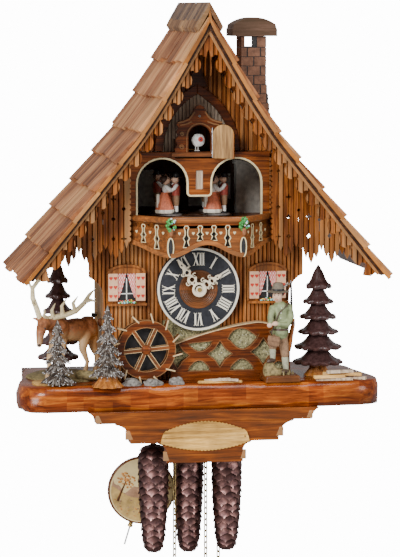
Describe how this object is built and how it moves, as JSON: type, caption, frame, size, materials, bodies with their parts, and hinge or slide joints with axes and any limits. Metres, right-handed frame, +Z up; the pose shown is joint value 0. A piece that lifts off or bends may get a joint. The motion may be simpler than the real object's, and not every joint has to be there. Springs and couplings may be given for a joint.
{
  "type": "cuckoo clock",
  "caption": "Carved chalet cuckoo clock with dial and hands, a cuckoo behind a door, a dancers' carousel, a mill wheel, pendulum and cone weights on chains.",
  "frame": {"origin": "centre of the hanging hole, at the wall plane of the hanger plate", "axes": "+Z up, +Y into the wall, +X to the right of someone facing the dial"},
  "size_m": [0.4712, 0.238, 0.7757],
  "materials": {
    "varnished_wood": "glossy varnish over chip-carved facets",
    "case_wood": "stained and satin varnished",
    "carved_wood": "stained, carved and varnished",
    "dark_wood": "dark stain, satin",
    "pale_wood": "pale, lightly stained",
    "shingle_wood": "split shingles, dry matt stain",
    "birch": "natural, matt",
    "painted_brick": "wood scored and painted as brick",
    "painted_cream": "painted, satin",
    "painted_green": "painted, satin",
    "painted_white": "painted, matt",
    "painted_wood": "painted picture under clear lacquer in a dark rim",
    "painted_figure": "hand-painted resin",
    "resin_figure": "hand-painted resin",
    "fir_brown": "dark stained turned wood with curled tiers",
    "fir_snow": "bottle brush fir with frosted tips",
    "stone_grey": "rough painted stone",
    "dial_black": "painted satin black",
    "dial_cream": "satin cream",
    "brass": "lacquered",
    "steel": "plain",
    "bellows_paper": "folded bellows paper on wood",
    "cone_iron": "cast iron with antique copper paint",
    "black_knob": "gloss black"
  },
  "bodies": {
    "root": {"base_board": "varnished_wood", "base_apron": "varnished_wood", "plaque": "birch", "side_walls": "case_wood", "front_wall": "case_wood", "back_board": "case_wood", "gable_panel": "pale_wood", "gable_beams": "dark_wood", "roof_panel_left": "case_wood", "roof_panel_right": "case_wood", "shingles_left": "shingle_wood", "shingles_right": "shingle_wood", "ridge_cap": "dark_wood", "bargeboards": "carved_wood", "icicle_panels": "carved_wood", "chimney": "painted_brick", "stage_front": "case_wood", "stage_floor": "case_wood", "balcony": "carved_wood", "cuckoo_house": "case_wood", "dial_plate": "dial_black", "dial_numerals": "dial_cream", "window_frames": "carved_wood", "window_shutters": "painted_cream", "mill_wall": "carved_wood", "flowers": "painted_green", "deer": "resin_figure", "hunter": "painted_figure", "pine_trees": "fir_brown", "snowy_trees": "fir_snow", "stones": "stone_grey", "firewood": "birch", "movement_plates": "brass", "hanger_plate": "steel", "bellows": "bellows_paper", "music_box": "brass"},
    "minute": {"centre_arbor": "brass", "minute_hand": "dial_cream"},
    "hour": {"hour_hand": "dial_cream"},
    "motion_work": {"minute_wheel": "brass"},
    "escape": {"escape_wheel": "brass"},
    "leader": {"anchor": "steel"},
    "pendulum": {"pendulum_rod": "steel"},
    "bob": {"pendulum_bob": "painted_wood"},
    "left_weight": {"weight_left": "cone_iron"},
    "middle_weight": {"weight_middle": "cone_iron"},
    "right_weight": {"weight_right": "cone_iron"},
    "left_chain": {"chain_left": "brass"},
    "middle_chain": {"chain_middle": "brass"},
    "right_chain": {"chain_right": "brass"},
    "left_sprocket": {"sprocket_left": "brass"},
    "middle_sprocket": {"sprocket_middle": "brass"},
    "right_sprocket": {"sprocket_right": "brass"},
    "cuckoo": {"cuckoo_bird": "painted_white"},
    "cuckoo_shutter": {"cuckoo_door": "pale_wood"},
    "dancing_floor": {"carousel": "case_wood", "dancers": "painted_figure"},
    "mill_wheel": {"water_wheel": "carved_wood"},
    "lever": {"shutoff_lever": "black_knob"},
    "rear_door": {"back_door": "case_wood"}
  },
  "joints": [
    {"name": "minute_spin", "type": "hinge", "parent": "root", "child": "minute", "pos_m": [0, -0.1, -0.2135], "axis": [0, 1, 0], "continuous": true},
    {"name": "hour_spin", "type": "hinge", "parent": "root", "child": "hour", "pos_m": [0, -0.14, -0.2135], "axis": [0, 1, 0], "continuous": true},
    {"name": "motion_wheel_spin", "type": "hinge", "parent": "root", "child": "motion_work", "pos_m": [0, -0.121, -0.1895], "axis": [0, 1, 0], "continuous": true},
    {"name": "escape_spin", "type": "hinge", "parent": "root", "child": "escape", "pos_m": [0, -0.041, -0.227], "axis": [0, 1, 0], "continuous": true},
    {"name": "leader_rock", "type": "hinge", "parent": "root", "child": "leader", "pos_m": [0, -0.041, -0.255], "axis": [0, 1, 0], "range_deg": [-4, 4]},
    {"name": "pendulum_swing", "type": "hinge", "parent": "leader", "child": "pendulum", "pos_m": [0, -0.032, -0.308], "axis": [0, 1, 0], "range_deg": [-33.9, 1]},
    {"name": "bob_adjust", "type": "slide", "parent": "pendulum", "child": "bob", "axis": [0.2912, 0, 0.9567], "range_m": [-0.008, 0.008]},
    {"name": "left_weight_drop", "type": "slide", "parent": "root", "child": "left_weight", "axis": [0, 0, 1], "range_m": [-0.08, 0]},
    {"name": "left_chain_rise", "type": "slide", "parent": "root", "child": "left_chain", "axis": [0, 0, 1], "range_m": [0, 0.08]},
    {"name": "left_sprocket_turn", "type": "hinge", "parent": "root", "child": "left_sprocket", "pos_m": [-0.0345, -0.091, -0.26], "axis": [0, 1, 0], "range_deg": [-330.5, 0]},
    {"name": "middle_weight_drop", "type": "slide", "parent": "root", "child": "middle_weight", "axis": [0, 0, 1], "range_m": [-0.08, 0]},
    {"name": "middle_chain_rise", "type": "slide", "parent": "root", "child": "middle_chain", "axis": [0, 0, 1], "range_m": [0, 0.08]},
    {"name": "middle_sprocket_turn", "type": "hinge", "parent": "root", "child": "middle_sprocket", "pos_m": [0.022, -0.066, -0.24], "axis": [0, 1, 0], "range_deg": [-230.5, 0]},
    {"name": "right_weight_drop", "type": "slide", "parent": "root", "child": "right_weight", "axis": [0, 0, 1], "range_m": [-0.08, 0]},
    {"name": "right_chain_rise", "type": "slide", "parent": "root", "child": "right_chain", "axis": [0, 0, 1], "range_m": [0, 0.08]},
    {"name": "right_sprocket_turn", "type": "hinge", "parent": "root", "child": "right_sprocket", "pos_m": [0.0345, -0.091, -0.26], "axis": [0, 1, 0], "range_deg": [0, 330.5]},
    {"name": "cuckoo_swing", "type": "hinge", "parent": "root", "child": "cuckoo", "pos_m": [-0.04, -0.128, -0.035], "axis": [0, 0, 1], "range_deg": [0, 55]},
    {"name": "cuckoo_door_swing", "type": "hinge", "parent": "root", "child": "cuckoo_shutter", "pos_m": [0.016, -0.1658, -0.027], "axis": [0, 0, 1], "range_deg": [-150, 0]},
    {"name": "carousel_spin", "type": "hinge", "parent": "root", "child": "dancing_floor", "pos_m": [0, -0.094, -0.123], "axis": [0, 0, 1], "continuous": true},
    {"name": "mill_wheel_spin", "type": "hinge", "parent": "root", "child": "mill_wheel", "pos_m": [-0.07, -0.167, -0.2873], "axis": [0, 1, 0], "continuous": true},
    {"name": "lever_slide", "type": "slide", "parent": "root", "child": "lever", "axis": [0, 0, 1], "range_m": [-0.008, 0.008]},
    {"name": "back_door_swing", "type": "hinge", "parent": "root", "child": "rear_door", "pos_m": [0.1007, -0.004, -0.236], "axis": [0, 0, 1], "range_deg": [-90, 0]}
  ],
  "couplings": [
    {"joint": "hour_spin", "follows": "minute_spin", "ratio": 0.083333},
    {"joint": "motion_wheel_spin", "follows": "minute_spin", "ratio": -0.33333},
    {"joint": "left_chain_rise", "follows": "left_weight_drop", "ratio": -1},
    {"joint": "left_sprocket_turn", "follows": "left_weight_drop", "rad_per_m": 71.942},
    {"joint": "middle_chain_rise", "follows": "middle_weight_drop", "ratio": -1},
    {"joint": "middle_sprocket_turn", "follows": "middle_weight_drop", "rad_per_m": 50},
    {"joint": "right_chain_rise", "follows": "right_weight_drop", "ratio": -1},
    {"joint": "right_sprocket_turn", "follows": "right_weight_drop", "rad_per_m": -71.942},
    {"joint": "cuckoo_door_swing", "follows": "cuckoo_swing", "ratio": -2.7272},
    {"joint": "mill_wheel_spin", "follows": "carousel_spin", "ratio": 1}
  ]
}
